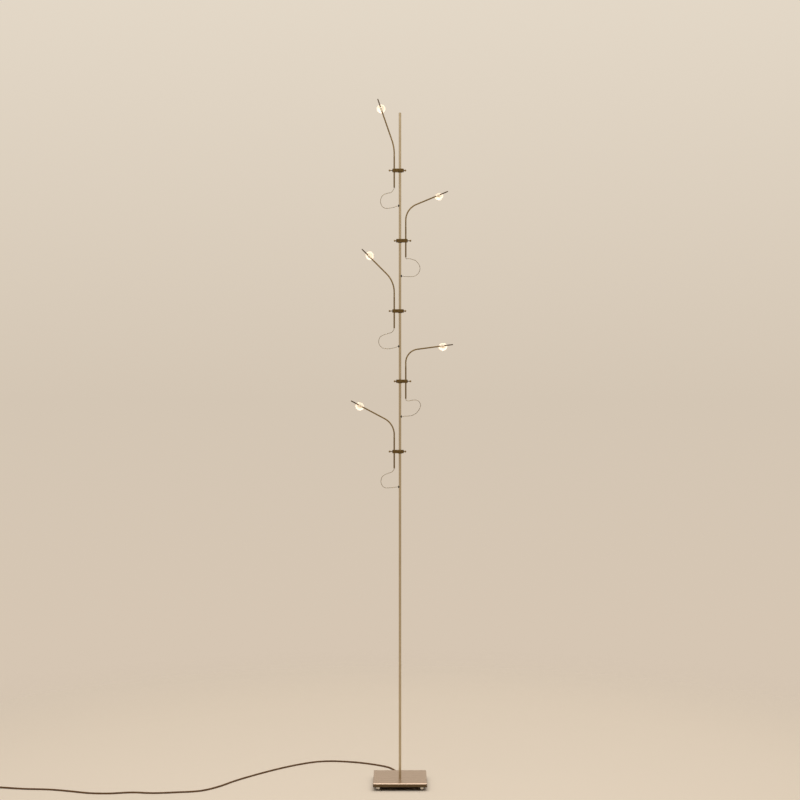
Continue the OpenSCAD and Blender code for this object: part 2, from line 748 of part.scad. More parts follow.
module head_grip(i) {
    r = grip_d / 2;
    color([0.1, 0.08, 0.06]) at_head(i) {
        translate([0, 0, grip_seat - grip_stud_l]) cylinder(d = grip_stud_d, h = grip_stud_l + 0.5);
        translate([0, 0, grip_seat]) rotate_extrude() polygon(concat(
            [[0, 0], [r - 0.4, 0], [r, 0.4]],
            [for (a = [0:15:90]) [r * cos(a), grip_reach - grip_seat - r + r * sin(a)]]
        ));
    }
}

module lens(i) {
    back = carrier_front - lens_seat;
    r = lens_d / 2;
    dome_r = (r * r + lens_dome * lens_dome) / (2 * lens_dome);
    edge = asin(r / dome_r);
    cave_r = led_d / 2 + 1;
    top = lens_rim + lens_dome;
    color([0.9, 0.95, 1, 0.5]) at_head(i) translate([0, back, 0]) rotate([-90, 0, 0])
        difference() {
            rotate_extrude() polygon(concat(
                [[0, 0], [r - 0.5, 0], [r, 0.5]],
                [for (s = [0:15]) let (a = edge * (1 - s / 15))
                    [dome_r * sin(a), top - dome_r * (1 - cos(a))]]
            ));
            translate([0, 0, -OVER]) cylinder(d = carrier_d + PLAY, h = OVER + lens_seat + SPLIT);
            translate([0, 0, lens_seat]) {
                cylinder(r = cave_r, h = 1);
                translate([0, 0, 1]) sphere(r = cave_r);
            }
        }
}

base_plate();
base_feet();
foot_pads();
pole();
pole_nut();
pole_cap();
wire_grommets();
lamp_wires();
junction_block();
cord_relief();
cord_run();
cord_coil();
cord_tie();
power_supply();
plug_pins();
for (i = LIGHTS) {
    pole_liner(i);
    clamp_block(i);
    pole_screw(i);
    arm_screw(i);
    arm_tube(i);
    arm_neck(i);
    led_module(i);
    head_grip(i);
    lens(i);
}
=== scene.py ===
# Looks of a floor lamp with five small lens projectors on bendable arms. Metres, +Z up, with the
# lamps beside the pole along X and their light thrown towards +Y.
import json
import math

import bmesh
import bpy
from mathutils import Matrix, Vector


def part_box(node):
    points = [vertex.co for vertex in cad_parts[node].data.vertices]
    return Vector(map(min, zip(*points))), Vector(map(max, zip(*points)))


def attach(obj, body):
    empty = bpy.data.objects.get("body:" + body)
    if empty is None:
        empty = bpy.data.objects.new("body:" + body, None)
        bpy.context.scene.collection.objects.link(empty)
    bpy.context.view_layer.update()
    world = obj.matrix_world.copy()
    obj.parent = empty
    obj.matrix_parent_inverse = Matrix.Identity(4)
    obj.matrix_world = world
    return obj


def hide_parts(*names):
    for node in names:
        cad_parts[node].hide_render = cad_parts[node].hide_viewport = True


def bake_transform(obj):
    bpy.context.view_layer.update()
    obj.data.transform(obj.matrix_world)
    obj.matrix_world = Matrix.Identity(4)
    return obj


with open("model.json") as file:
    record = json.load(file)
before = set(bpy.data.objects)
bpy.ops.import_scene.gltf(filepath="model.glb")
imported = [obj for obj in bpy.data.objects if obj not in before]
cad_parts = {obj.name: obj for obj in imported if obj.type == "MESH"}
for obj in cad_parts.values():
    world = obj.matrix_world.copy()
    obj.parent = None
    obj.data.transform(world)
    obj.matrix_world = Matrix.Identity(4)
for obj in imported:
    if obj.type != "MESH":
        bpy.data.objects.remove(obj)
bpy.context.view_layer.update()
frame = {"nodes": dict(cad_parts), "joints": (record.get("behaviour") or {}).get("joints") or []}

LIGHTS = (1, 2, 3, 4, 5)  # from the top
JOINTS = {joint["name"]: joint for joint in frame["joints"]}
TAU = 2 * math.pi
MM = 0.001


def side(i):
    """-1 where light i stands at -X of the pole, +1 where it stands at +X."""
    return -1 if i % 2 else 1


def place_of(joint):
    """Where a joint's axis stands at rest."""
    return Vector(JOINTS[joint]["pos_m"])


# Camera

CAMERA_AWAY = 4.690  # from the pole
CAMERA_HEIGHT = 1.230
CAMERA_LENS_MM = 65.9
CAMERA_SENSOR_MM = 36.0


def make_camera():
    data = bpy.data.cameras.new("camera")
    data.lens = CAMERA_LENS_MM
    data.sensor_width = CAMERA_SENSOR_MM
    camera = bpy.data.objects.new("camera", data)
    camera.location = (0, -CAMERA_AWAY, CAMERA_HEIGHT)
    camera.rotation_euler = (math.radians(90), 0, 0)
    bpy.context.scene.collection.objects.link(camera)
    bpy.context.scene.camera = camera


# Meshes

SHARP = math.radians(38)  # faces that meet at more than this keep a hard edge


def piece(name, points, faces, materials, slot, second=()):
    """Mesh object of the given points and faces. Faces whose index is in second take the second material."""
    mesh = bpy.data.meshes.new(name)
    mesh.from_pydata(points, [], faces)
    for material in materials:
        mesh.materials.append(material)
    for k in second:
        mesh.polygons[k].material_index = 1
    mesh.polygons.foreach_set("use_smooth", [True] * len(mesh.polygons))
    mesh.set_sharp_from_angle(angle=SHARP)
    made = bpy.data.objects.new(name, mesh)
    bpy.context.scene.collection.objects.link(made)
    return made


def lathe(profile, place, sides=48):
    """Points and faces of a solid turned round the Z axis of place. Profile holds (radius, height)
    pairs from axis to axis, and a third number is how much less the radius of every second side is."""
    points, rings, faces = [], [], []
    for radius, height, *cut in profile:
        if radius == 0:
            rings.append([len(points)] * sides)
            points.append(place @ Vector((0, 0, height)))
            continue
        rings.append(list(range(len(points), len(points) + sides)))
        for k in range(sides):
            r = radius - (cut[0] if cut and k % 2 else 0)
            a = TAU * k / sides
            points.append(place @ Vector((r * math.cos(a), r * math.sin(a), height)))
    for low, high in zip(rings, rings[1:]):
        for k in range(sides):
            n = (k + 1) % sides
            corners = list(dict.fromkeys((low[k], low[n], high[n], high[k])))
            if len(corners) > 2:
                faces.append(corners)
    return points, faces


def frames_along(path):
    """An unturned frame (side, other side) at each point of a path."""
    headings = [(path[min(k + 1, len(path) - 1)] - path[max(k - 1, 0)]).normalized()
                for k in range(len(path))]
    across = headings[0].orthogonal().normalized()
    frames = []
    for heading in headings:
        across = (across - heading * across.dot(heading)).normalized()
        frames.append((across, heading.cross(across)))
    return frames


def sweep(path, radius, sides):
    """Points and faces of a tube along a path. Radius is a number, or a function of the distance
    along the path and the angle round it."""
    points, faces = [], []
    along = 0.0
    for k, (at, (u, v)) in enumerate(zip(path, frames_along(path))):
        along += (at - path[max(k - 1, 0)]).length
        for j in range(sides):
            a = TAU * j / sides
            r = radius(along, a) if callable(radius) else radius
            points.append(at + r * (math.cos(a) * u + math.sin(a) * v))
    for k in range(len(path) - 1):
        for j in range(sides):
            n = (j + 1) % sides
            a, b = k * sides, (k + 1) * sides
            faces.append((a + j, a + n, b + n, b + j))
    faces.append(tuple(range(sides))[::-1])
    faces.append(tuple(range(len(points) - sides, len(points))))
    return points, faces


def join(*parts):
    """Several (points, faces) as one, and the index of the first face of each."""
    points, faces, starts = [], [], []
    for more_points, more_faces in parts:
        starts.append(len(faces))
        faces += [tuple(k + len(points) for k in face) for face in more_faces]
        points += more_points
    return points, faces, starts


def smooth(points, steps):
    """Smooth curve through points, as the frame's own cord solids have it."""
    p = [Vector(q) for q in points]
    curve = []
    for k in range(len(p) - 1):
        a, b, c, d = p[max(k - 1, 0)], p[k], p[k + 1], p[min(k + 2, len(p) - 1)]
        for s in range(steps):
            u = s / steps
            curve.append((2 * b + (c - a) * u + (2 * a - 5 * b + 4 * c - d) * u ** 2
                          + (3 * b - a - 3 * c + d) * u ** 3) / 2)
    return curve + [p[-1]]


def axis_place(at, along):
    """Matrix that puts +Z along a direction, at a place."""
    return Matrix.Translation(at) @ Vector(along).to_track_quat("Z", "Y").to_matrix().to_4x4()


def strap(path, width, thickness, across):
    """Points and faces of a flat closed band along a path, its width along a fixed direction."""
    points, faces = [], []
    count = len(path)
    for k, at in enumerate(path):
        out = (path[(k + 1) % count] - path[k - 1]).cross(across).normalized()
        for w, t in ((-1, 0), (1, 0), (1, 1), (-1, 1)):
            points.append(at + across * (w * width / 2) + out * (t * thickness))
    for k in range(count):
        a, b = 4 * k, 4 * ((k + 1) % count)
        for j in range(4):
            n = (j + 1) % 4
            faces.append((a + j, a + n, b + n, b + j))
    return points, faces


def box_between(low, high, radius):
    """Points and faces of a box with rounded edges."""
    made = bmesh.new()
    bmesh.ops.create_cube(made, size=1)
    for v in made.verts:
        v.co = Vector((low[k] if v.co[k] < 0 else high[k]) for k in range(3))
    bmesh.ops.bevel(made, geom=made.edges[:], offset=radius, segments=3, profile=0.5,
                    affect="EDGES", clamp_overlap=True)
    made.verts.index_update()
    points = [v.co.copy() for v in made.verts]
    faces = [tuple(v.index for v in f.verts) for f in made.faces]
    made.free()
    return points, faces


# Materials

NOISE_LOW, NOISE_HIGH = 0.3, 0.7  # between which most of a noise's values lie


def colour(red, green, blue):
    """Linear colour from the usual 0 to 255 values."""
    return tuple((c / 255 / 12.92 if c <= 10 else ((c / 255 + 0.055) / 1.055) ** 2.4)
                 for c in (red, green, blue)) + (1.0,)


class Paint:
    """A material with a Principled shader, and the few nodes that vary it. A keyword such as
    transmission_weight sets the socket of that name."""

    def __init__(self, name, base, **sockets):
        self.material = bpy.data.materials.new(name)
        self.material.use_nodes = True
        self.tree = self.material.node_tree
        self.shader = self.tree.nodes["Principled BSDF"]
        self.set("Base Color", base)
        for socket, value in sockets.items():
            self.set(socket.replace("_", " ").title().replace("Ior", "IOR"), value)

    def set(self, socket, value):
        self.shader.inputs[socket].default_value = value

    def node(self, kind, **inputs):
        made = self.tree.nodes.new(kind)
        for name, value in inputs.items():
            made.inputs[name].default_value = value
        return made

    def link(self, out, into):
        self.tree.links.new(out, into)

    def grain(self, scale, stretch=(1, 1, 1), detail=4.0):
        """Noise in object space, finer along the axes where stretch is larger."""
        where = self.node("ShaderNodeTexCoord")
        mapping = self.node("ShaderNodeMapping", Scale=stretch)
        noise = self.node("ShaderNodeTexNoise", Scale=scale, Detail=detail)
        self.link(where.outputs["Object"], mapping.inputs["Vector"])
        self.link(mapping.outputs["Vector"], noise.inputs["Vector"])
        return noise.outputs["Fac"]

    def spread(self, factor, low=0.0, high=1.0):
        """A noise factor, stretched to run from low to high."""
        spread = self.node("ShaderNodeMapRange", **{
            "From Min": NOISE_LOW, "From Max": NOISE_HIGH, "To Min": low, "To Max": high})
        self.link(factor, spread.inputs["Value"])
        return spread.outputs["Result"]

    def vary(self, factor, socket, low, high):
        """Socket runs from low to high with a noise factor."""
        self.link(self.spread(factor, low, high), self.shader.inputs[socket])

    def tint(self, factor, first, second):
        """Base colour between two colours, by a noise factor."""
        mix = self.tree.nodes.new("ShaderNodeMix")
        mix.data_type = "RGBA"
        colours = [s for s in mix.inputs if s.type == "RGBA"]
        colours[0].default_value = first
        colours[1].default_value = second
        self.link(self.spread(factor), mix.inputs[0])
        self.link([s for s in mix.outputs if s.type == "RGBA"][0], self.shader.inputs["Base Color"])

    def bump(self, factor, distance):
        """Relief of a noise factor, as deep as distance."""
        bump = self.node("ShaderNodeBump", Strength=1.0, Distance=distance)
        self.link(factor, bump.inputs["Height"])
        self.link(bump.outputs["Normal"], self.shader.inputs["Normal"])


def drawn_nickel(name, dark, light):
    """Warm satin plated tube, drawn lengthwise."""
    paint = Paint(name, dark, metallic=1.0)
    drawn = paint.grain(60, stretch=(30, 30, 0.5))
    paint.tint(paint.grain(9, detail=3), dark, light)
    paint.vary(drawn, "Roughness", 0.22, 0.4)
    paint.bump(drawn, 0.00003)
    return paint.material


def brushed_base():
    """Brushed steel with the plate's long fine lines along X."""
    paint = Paint("brushed_base", colour(186, 162, 141), metallic=1.0)
    lines = paint.grain(30, stretch=(0.25, 110, 110), detail=3)
    paint.tint(lines, colour(178, 154, 133), colour(193, 170, 149))
    paint.vary(lines, "Roughness", 0.22, 0.36)
    paint.bump(lines, 0.00001)
    return paint.material


def painted_shade_base_sides():
    """Sawn sides and underside of the base plate, coloured darker than its top as painted shade, for the
    shade that falls on its front face and under it.
    """
    # Painted shade: the plate's sides and underside are coloured darker than its top.
    paint = Paint("painted_shade_base_sides", colour(100, 84, 62), metallic=1.0)
    lines = paint.grain(40, stretch=(0.8, 0.8, 30), detail=5)
    paint.tint(lines, colour(86, 71, 52), colour(112, 95, 72))
    paint.vary(lines, "Roughness", 0.3, 0.5)
    paint.bump(lines, 0.00004)
    return paint.material


def bronze(name, dark, light):
    """Cloudy bronze finish with a fine cast grain."""
    paint = Paint(name, dark, metallic=1.0)
    cloudy = paint.grain(140, detail=5)
    paint.tint(cloudy, dark, light)
    paint.vary(paint.grain(900), "Roughness", 0.26, 0.42)
    paint.bump(paint.grain(1500), 0.00001)
    return paint.material


def bright_steel():
    """Turned steel, a little brushed."""
    paint = Paint("bright_steel", colour(205, 200, 190), metallic=1.0)
    paint.vary(paint.grain(600, stretch=(1, 1, 6)), "Roughness", 0.14, 0.3)
    return paint.material


def plain(name, dark, light, low, high, scale, depth, shine=0.3):
    """Matt or satin rubber or plastic with a fine grain."""
    paint = Paint(name, dark)
    paint.set("Specular IOR Level", shine)
    fine, coarse = paint.grain(scale), paint.grain(scale / 12)
    paint.tint(coarse, dark, light)
    paint.vary(fine, "Roughness", low, high)
    paint.bump(fine, depth)
    return paint.material


def clear_sheath():
    """Clear plastic of the wires, slightly yellow."""
    paint = Paint("clear_sheath", colour(226, 214, 184), transmission_weight=0.88, ior=1.42)
    paint.vary(paint.grain(700), "Roughness", 0.08, 0.25)
    return paint.material


def tinned_strand():
    """Conductor inside the clear wire."""
    paint = Paint("tinned_strand", colour(158, 141, 108), metallic=1.0)
    paint.vary(paint.grain(2500), "Roughness", 0.3, 0.45)
    return paint.material


def lit_lens():
    """Clear pressed glass, lit warm from behind."""
    paint = Paint("lit_lens", colour(240, 226, 208), transmission_weight=1.0, ior=1.5, roughness=0.22)
    paint.set("Emission Color", colour(255, 236, 214))
    paint.vary(paint.grain(260, detail=2), "Emission Strength", 0.24, 0.30)
    return paint.material


def lit_edge():
    """The lens's ground edge, which catches more of the light than the clear glass."""
    paint = Paint("lit_edge", colour(220, 210, 198), transmission_weight=0.6, ior=1.5, roughness=0.45)
    paint.set("Emission Color", colour(255, 240, 222))
    paint.vary(paint.grain(500, detail=2), "Emission Strength", 0.22, 0.3)
    return paint.material


def lit_holder():
    """Frosted holder, lit through by the light in it."""
    paint = Paint("lit_holder", colour(236, 222, 198), roughness=0.5)
    paint.set("Emission Color", colour(255, 228, 192))
    paint.vary(paint.grain(400, detail=2), "Emission Strength", 0.2, 0.3)
    return paint.material


def lit_dome():
    """The LED's own dome, alight."""
    paint = Paint("lit_dome", colour(255, 240, 200))
    paint.vary(paint.grain(900), "Roughness", 0.22, 0.36)
    paint.set("Emission Color", colour(255, 226, 168))
    paint.set("Emission Strength", 1.2)
    return paint.material


NICKEL = drawn_nickel("satin_nickel", colour(183, 167, 139), colour(193, 178, 150))
DARK_NICKEL = drawn_nickel("dark_nickel", colour(116, 97, 62), colour(134, 113, 75))
BASE = brushed_base()
PAINTED_SHADE_BASE_SIDES = painted_shade_base_sides()
BRONZE = bronze("dark_bronze", colour(94, 75, 42), colour(118, 96, 60))
SCREW_BRONZE = bronze("screw_bronze", colour(120, 98, 62), colour(142, 120, 84))
STEEL = bright_steel()
RUBBER = plain("rubber", colour(12, 11, 10), colour(20, 18, 16), 0.62, 0.82, 2500, 0.00003, 0.1)
NYLON = plain("nylon", colour(40, 39, 37), colour(52, 51, 49), 0.4, 0.55, 1500, 0.00001)
BLACK = plain("black_plastic", colour(32, 31, 30), colour(42, 41, 40), 0.42, 0.6, 1800, 0.00004)
CORD = plain("cord_sheath", colour(98, 68, 36), colour(116, 84, 48), 0.5, 0.65, 900, 0.00004)
GRIP = plain("grip", colour(84, 62, 30), colour(102, 77, 43), 0.45, 0.6, 1200, 0.00002)
SHEATH = clear_sheath()
STRAND = tinned_strand()
LENS = lit_lens()
LENS_EDGE = lit_edge()
HOLDER = lit_holder()
DOME = lit_dome()

# The frame's own nodes that show as they are, and what they are made of
FINISHES = {
    "base_plate": BASE, "base_feet": STEEL, "foot_pads": RUBBER, "pole": NICKEL, "pole_nut": STEEL,
    "pole_cap": NICKEL, "wire_grommets": RUBBER, "junction_block": BLACK, "plug_pins": STEEL,
    "pole_liner": NYLON, "clamp_block": BRONZE, "arm_tube": DARK_NICKEL,
}


def finish_nodes():
    """Each node that shows as it is gets its material, and the base plate a second, darker one of painted
    shade for its sides and underside.
    """
    for name, node in frame["nodes"].items():
        kind = name if name in FINISHES else name[:-2]  # without the light's number
        if kind in FINISHES:
            node.data.materials.clear()
            node.data.materials.append(FINISHES[kind])
    plate = frame["nodes"]["base_plate"].data
    # Painted shade: the faces that don't face up take the darker colour.
    plate.materials.append(PAINTED_SHADE_BASE_SIDES)
    for face in plate.polygons:
        faces_up = face.normal.z >= 0.5
        face.material_index = 0 if faces_up else 1


# Lead from the base to its power supply

CORD_R = 0.0025
EXIT_Z = 0.00685  # middle line where the lead leaves the strain relief
LAID_Z = 0.0026  # on the floor
COIL_Z = 0.0043  # in the coil's lower layer
ROUTE = [
    (0, 0.078, EXIT_Z), (0, 0.082, EXIT_Z), (0, 0.086, EXIT_Z), (-0.0005, 0.098, 0.0056),
    (-0.002, 0.111, 0.004), (-0.007, 0.135, LAID_Z), (-0.017, 0.164, LAID_Z),
    (-0.038, 0.204, LAID_Z), (-0.080, 0.238, LAID_Z), (-0.138, 0.268, LAID_Z),
    (-0.200, 0.285, LAID_Z), (-0.248, 0.288, LAID_Z), (-0.298, 0.272, LAID_Z),
    (-0.358, 0.229, LAID_Z), (-0.416, 0.173, LAID_Z), (-0.476, 0.104, LAID_Z),
    (-0.530, 0.034, LAID_Z), (-0.578, -0.042, LAID_Z), (-0.628, -0.090, LAID_Z),
    (-0.695, -0.106, LAID_Z), (-0.770, -0.116, LAID_Z), (-0.840, -0.108, LAID_Z),
    (-0.905, -0.120, LAID_Z), (-0.970, -0.116, LAID_Z), (-1.035, -0.094, LAID_Z),
    (-1.105, -0.074, LAID_Z), (-1.185, -0.066, LAID_Z), (-1.250, -0.054, 0.0032),
    (-1.290, -0.048, COIL_Z), (-1.305, -0.048, COIL_Z),
]
COIL_TOP_Y = -0.048
COIL_PITCH = 0.0056
COIL_TURNS = 4.25
COIL_MIDDLE_R = 0.0252
COIL_R = COIL_MIDDLE_R + COIL_PITCH * COIL_TURNS / 4  # of its outer turns
COIL = Vector((-1.316, COIL_TOP_Y - COIL_R, COIL_Z))
COIL_STEPS = 40  # to one turn
CLIMB = 0.5  # turns that it takes from the lower layer to the upper
TAIL_X = COIL.x - COIL_R
TAIL_L = 0.066  # from the coil's middle to the supply, along Y
SUPPLY_Y = COIL.y - TAIL_L
SUPPLY_MID = 0.014  # height of its middle


def coil_at(t):
    """Place on the coil after t turns: in on the lower layer and out again on the upper."""
    half = COIL_TURNS / 2
    r = COIL_R - COIL_PITCH * (half - abs(t - half))
    climb = min(1, max(0, (t - half) / CLIMB + 0.5))
    a = math.radians(90) + TAU * t
    return COIL + Vector((r * math.cos(a), r * math.sin(a), COIL_PITCH * climb))


def lead_path():
    """The whole lead: along the floor, round the coil and on to the supply."""
    run = smooth([*ROUTE, (COIL.x + 2 * CORD_R, COIL_TOP_Y, COIL.z)], 5)
    turns = [coil_at(s / COIL_STEPS) for s in range(int(COIL_STEPS * COIL_TURNS) + 1)]
    top = COIL.z + COIL_PITCH
    tail = smooth([(TAIL_X, COIL.y - back, z) for back, z in (
        (0.005, top), (0.008, top), (0.011, top), (0.020, top - 0.0014), (0.034, top + 0.0008),
        (0.048, SUPPLY_MID - 0.002), (0.058, SUPPLY_MID), (0.062, SUPPLY_MID), (TAIL_L, SUPPLY_MID)
    )], 4)
    return run + turns + tail


def boot(name, length, root_r, tip_r, place, grooves):
    """Tapered strain relief with grooves round it, from root to tip along the Z axis of place."""
    depth, root_edge, tip_edge = 0.9 * MM, 0.4 * MM, 0.6 * MM
    first, step = 0.16 * length, 0.72 * length / grooves
    profile = [(0, 0), (root_r - root_edge, 0), (root_r, root_edge)]
    for g in range(grooves):
        z = first + g * step
        r = root_r + (tip_r - root_r) * z / length
        profile += [(r, z), (r - depth, z + 0.15 * step), (r - depth, z + 0.5 * step), (r, z + 0.65 * step)]
    profile += [(tip_r, length - tip_edge), (tip_r - 0.5 * MM, length), (0, length)]
    return piece(name, *lathe(profile, place, 32), [RUBBER], "rubber")


def make_tie():
    """Band round the coil's bundle of turns, with its overlapping end."""
    width, thickness, gap, corner, steps = 5 * MM, 0.9 * MM, 0.4 * MM, 2.5 * MM, 6
    flap_from, flap_length, flap_thickness, flap_edge = 4 * MM, 16 * MM, 0.8 * MM, 0.3 * MM
    angle = math.radians(-55)  # round the coil, from +X
    out = Vector((math.cos(angle), math.sin(angle), 0))
    across = Vector((-out.y, out.x, 0))
    near = COIL_R - COIL_PITCH * COIL_TURNS / 2 - CORD_R - gap
    far = COIL_R + CORD_R + gap
    low, high = COIL.z - CORD_R - gap, COIL.z + COIL_PITCH + CORD_R + gap
    path = []
    for r, z, start in ((far, high, 0), (near, high, 90), (near, low, 180), (far, low, 270)):
        middle_r = r - corner if r == far else r + corner
        middle_z = z - corner if z == high else z + corner
        for k in range(steps + 1):
            a = math.radians(start + 90 * k / steps)
            path.append(Vector((COIL.x, COIL.y, middle_z + corner * math.sin(a)))
                        + out * (middle_r + corner * math.cos(a)))
    band = strap(path, width, thickness, across)
    at = Vector((COIL.x, COIL.y, high + thickness)) + out * (near + flap_from)
    place = Matrix.Translation(at) @ Matrix.Rotation(angle, 4, "Z")
    flap_points, flap_faces = box_between(
        Vector((0, -width / 2, 0)), Vector((flap_length, width / 2, flap_thickness)), flap_edge)
    flap = [place @ p for p in flap_points], flap_faces
    tie = piece("lead_tie", *join(band, flap)[:2], [RUBBER], "rubber")
    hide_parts("cord_tie")
    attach(tie, "stand")
    return tie


def make_supply():
    """Plug-in supply of two shells with a parting groove."""
    low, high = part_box("power_supply")
    parting, groove, inset, shell_r = low.z + 0.62 * (high.z - low.z), 0.5 * MM, 0.8 * MM, 3.2 * MM
    lower = box_between(low, Vector((high.x, high.y, parting)), shell_r)
    upper = box_between(Vector((low.x, low.y, parting + groove)), high, shell_r)
    inner = Vector((inset, inset, inset))
    core = box_between(low + inner, high - inner, shell_r)
    supply = piece("supply_body", *join(lower, upper, core)[:2], [BLACK], "black_plastic")
    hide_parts("power_supply")
    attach(supply, "stand")
    return supply


def make_lead():
    """Lead with its strain reliefs, tie and supply, whose pins are the frame's own node."""
    path = lead_path()
    lead = piece("lead", *sweep(path, CORD_R, 14), [CORD], "cord_sheath")
    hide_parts("cord_run", "cord_coil")
    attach(lead, "stand")

    low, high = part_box("cord_relief")
    middle = (low + high) / 2
    relief = boot("lead_strain_relief", high.y - low.y, (high.z - low.z) / 2, CORD_R + 0.5 * MM,
                  axis_place((middle.x, low.y, middle.z), (0, 1, 0)), grooves=6)
    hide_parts("cord_relief")
    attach(relief, "stand")

    end_boot = boot("supply_strain_relief", 22 * MM, 4.8 * MM, CORD_R + 0.4 * MM,
                    axis_place((TAIL_X, SUPPLY_Y, SUPPLY_MID), (0, 1, 0)), grooves=4)
    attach(end_boot, "stand")
    make_tie()
    make_supply()


# Wires of the lamp heads

WIRE_R = 0.8 * MM
STRAND_R = 0.32 * MM
STRAND_OFF = 0.36 * MM  # from the wire's middle line
STRAND_TURN = 14 * MM  # of wire to one turn of the twist
POLE_R = 4 * MM
GROMMET_DROP = 113 * MM  # from the clamp down to the grommet
GROMMET_OUT = 2 * MM  # past the pole's surface
# From the grommet to under the arm's lower end: millimetres out from the pole's axis and above
# the grommet, one list for each light, as in the frame
LOOPS = [
    [(14, -3), (30, -7), (46, -8), (57, -2), (62, 10), (61, 24), (53, 35), (40, 40), (28, 43)],
    [(14, -1), (30, -2), (47, 0), (59, 9), (64, 23), (61, 36), (51, 48.5), (38, 53.5), (28, 56)],
    [(15, -4), (28, -7), (41, -8), (56, -5), (66, 5), (68, 18), (63, 30), (51, 37), (38, 41), (26, 45)],
    [(14, 1), (29, 2), (42, 5), (53, 12), (62, 24), (66, 37), (60, 49), (49, 53), (37, 52), (27, 50)],
    [(14, -1), (30, -3), (47, -3), (57, 4), (61, 17), (58, 30), (50, 38), (38, 43), (27, 47)],
]
WIRE_DROP = 5 * MM  # below the arm's end, where its wire turns out to the side
WIRE_ASIDE = 1.6 * MM  # beside the arm's axis there
WIRE_STEP = 1.72 * MM  # from one wire to the next inside the pole
WIRE_SLOTS = [(0, 0.5), (0.5, -0.5), (0.5, -0.5), (1, 0.5), (1, 0.5)]  # in steps, along X and Y
FOOT_BEND_R = 3.5 * MM
FOOT_BEND_Z = 9.4 * MM
BLOCK_Y = 17.7 * MM
EXIT_RISE = 2.2 * MM  # of a wire's last bend, up to its hole
EXIT_IN = 1.2 * MM  # from the pole's surface in to the end of that bend
# Out from the pole's axis, where a wire starts to move with its light, and to turn with its arm
LEAVES_LINER = 32 * MM
WIRE_IN_ARM = (4 * MM, 10 * MM)  # heights over the arm's lower end
HIDDEN_STEP = 5 * MM  # between the points of the wire inside the arm, and from its end to the head


def inner_wire(i, grommet_z):
    """Points of wire i from the junction block up inside the pole and out through its hole."""
    s = side(i)
    out, along = (WIRE_STEP * k for k in WIRE_SLOTS[i - 1])
    turn_r = WIRE_STEP / 2 + FOOT_BEND_R - along
    quarter = [math.radians(22.5 * k) for k in range(5)]
    exit_x = POLE_R - EXIT_IN
    path = [(s * out, BLOCK_Y, FOOT_BEND_Z - turn_r)]
    path += [(s * out, along + turn_r * (1 - math.sin(a)), FOOT_BEND_Z - turn_r * math.cos(a))
             for a in quarter]
    path += [(s * (out + (exit_x - out) * (1 - math.cos(a))), along * math.cos(a),
              grommet_z - EXIT_RISE * (1 - math.sin(a))) for a in quarter]
    return [Vector(p) for p in path]


def loop_wire(i, grommet_z):
    """Points of wire i from its grommet round its loop to the arm's lower end."""
    s = side(i)
    arm = place_of(f"arm_{i}_turn")
    arm_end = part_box(f"arm_tube_{i}")[0].z
    points = [(s * (POLE_R + GROMMET_OUT), 0, grommet_z)]
    points += [(s * x * MM, 0, grommet_z + z * MM) for x, z in LOOPS[i - 1]]
    points += [(arm.x + s * WIRE_ASIDE, 0, arm_end - WIRE_DROP), (arm.x, 0, arm_end)]
    return smooth(points, 8)


def strand(path, k):
    """One of the two conductors that are twisted inside a wire's clear sheath."""
    line, along = [], 0.0
    for j, (at, (u, v)) in enumerate(zip(path, frames_along(path))):
        along += (at - path[max(j - 1, 0)]).length
        a = TAU * (along / STRAND_TURN + k / 2)
        line.append(at + STRAND_OFF * (math.cos(a) * u + math.sin(a) * v))
    return sweep(line, STRAND_R, 6)


def wire_piece(name, path):
    """Clear sheath along a path, with its two strands."""
    points, faces, starts = join(sweep(path, WIRE_R, 10), strand(path, 0), strand(path, 1))
    return piece(name, points, faces, [SHEATH, STRAND], "clear_wire", second=range(starts[1], len(faces)))


def make_wire(i):
    """Wire i in four lengths, each across one joint."""
    grommet_z = place_of(f"light_{i}_swing").z - GROMMET_DROP
    loop = loop_wire(i, grommet_z)
    inner = inner_wire(i, grommet_z)
    furthest = max(range(len(loop)), key=lambda k: abs(loop[k].x))
    leaves = next(k for k in range(furthest, len(loop)) if abs(loop[k].x) < LEAVES_LINER)

    rise = wire_piece(f"wire_{i}_from_pole", inner + loop[:furthest + 1])
    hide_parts("lamp_wires")
    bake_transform(rise)

    turn = wire_piece(f"wire_{i}_loop", loop[furthest:leaves + 1])
    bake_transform(turn)

    arm = place_of(f"arm_{i}_turn")
    inside = [Vector((arm.x, 0, loop[-1].z + z)) for z in WIRE_IN_ARM]
    end = wire_piece(f"wire_{i}_to_arm", loop[leaves:] + inside)
    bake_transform(end)

    bend_z = bend_of(i)[2].z
    hidden = arm_line(i, inside[-1].z - bend_z, arm_reach(i) - HIDDEN_STEP, HIDDEN_STEP)
    core = piece(f"wire_{i}_in_arm", *sweep(hidden, WIRE_R, 8), [SHEATH], "clear_wire")
    bend_with_arm(core)


# Bendable necks of the arms

NECK_PITCH = 1.2 * MM
NECK_RINGS = 6  # to one turn of the winding
NECK_ROUND = 0.9  # share of the wound wire's half that shows as a rib
NECK_GAP = 0.05 * MM
SOCKET_DEPTH = 3.5 * MM  # from the head's middle back to the neck's end


def lean_of(i):
    """Angle from upright at which arm i meets its head."""
    axis = Vector(JOINTS[f"head_{i}_turn"]["axis"])
    return math.atan2(abs(axis.x), axis.z)


def bend_of(i):
    """Angle, radius and start of the bend in arm i, from the joints on either side of it."""
    angle = lean_of(i)
    middle, arm = place_of(f"arm_{i}_bend"), place_of(f"arm_{i}_turn")
    radius = abs(middle.x - arm.x) / (1 - math.cos(angle / 2))
    return angle, radius, Vector((arm.x, 0, middle.z - radius * math.sin(angle / 2)))


def arm_at(i, d):
    """Point on the middle line of arm i, a distance d past the start of its bend."""
    angle, radius, start = bend_of(i)
    s = side(i)
    if d < 0:
        return start + Vector((0, 0, d))
    a = min(d / radius, angle)
    past = d - a * radius
    return start + Vector((s * (radius * (1 - math.cos(a)) + past * math.sin(a)), 0,
                           radius * math.sin(a) + past * math.cos(a)))


